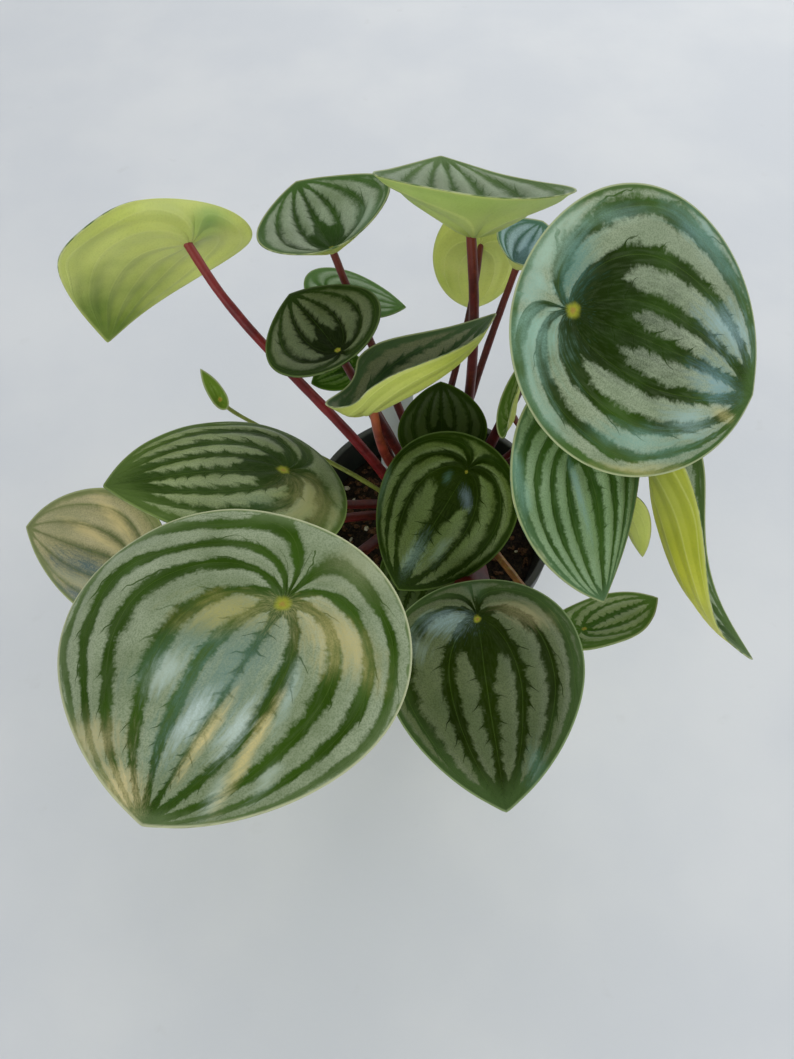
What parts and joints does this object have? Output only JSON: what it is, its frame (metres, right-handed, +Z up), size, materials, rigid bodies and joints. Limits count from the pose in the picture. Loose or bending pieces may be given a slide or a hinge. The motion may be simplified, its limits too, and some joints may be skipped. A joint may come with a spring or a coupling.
{
  "type": "potted peperomia",
  "caption": "Watermelon peperomia in a small nursery pot: silver-striped round leaves on dark red stalks, potting soil and a blank plant label.",
  "frame": {"origin": "centre of the pot's flat underside, on the surface it stands on", "axes": "+Z up; -Y is the front, the side with the largest leaf; +X to the right seen from the front"},
  "size_m": [0.2596, 0.2342, 0.2255],
  "materials": {
    "pot_plastic": "satin",
    "soil": "matte",
    "label_plastic": "satin",
    "crown": "matte",
    "leaf_blade": "satin",
    "petiole": "satin"
  },
  "bodies": {
    "root": {"back_blade": "leaf_blade", "back_left_blade": "leaf_blade", "back_left_petiole": "petiole", "back_petiole": "petiole", "back_right_blade": "leaf_blade", "back_right_petiole": "petiole", "behind_inner_left_blade": "leaf_blade", "behind_inner_left_petiole": "petiole", "centre_blade": "leaf_blade", "centre_petiole": "petiole", "crown": "crown", "curled_blade": "leaf_blade", "curled_petiole": "petiole", "far_back_blade": "leaf_blade", "far_back_left_blade": "leaf_blade", "far_back_left_petiole": "petiole", "far_back_petiole": "petiole", "far_left_blade": "leaf_blade", "far_left_petiole": "petiole", "front_blade": "leaf_blade", "front_left_blade": "leaf_blade", "front_left_petiole": "petiole", "front_petiole": "petiole", "hanging_blade": "leaf_blade", "hanging_petiole": "petiole", "inner_back_blade": "leaf_blade", "inner_back_petiole": "petiole", "inner_left_blade": "leaf_blade", "inner_left_petiole": "petiole", "inner_right_blade": "leaf_blade", "inner_right_petiole": "petiole", "left_blade": "leaf_blade", "left_petiole": "petiole", "low_front_blade": "leaf_blade", "low_front_petiole": "petiole", "low_right_blade": "leaf_blade", "low_right_petiole": "petiole", "lower_right_blade": "leaf_blade", "lower_right_petiole": "petiole", "plant_label": "label_plastic", "pot": "pot_plastic", "right_blade": "leaf_blade", "right_petiole": "petiole", "small_hanging_blade": "leaf_blade", "small_hanging_petiole": "petiole", "soil": "soil", "tucked_blade": "leaf_blade", "tucked_petiole": "petiole", "young_blade": "leaf_blade", "young_petiole": "petiole"}
  },
  "joints": []
}
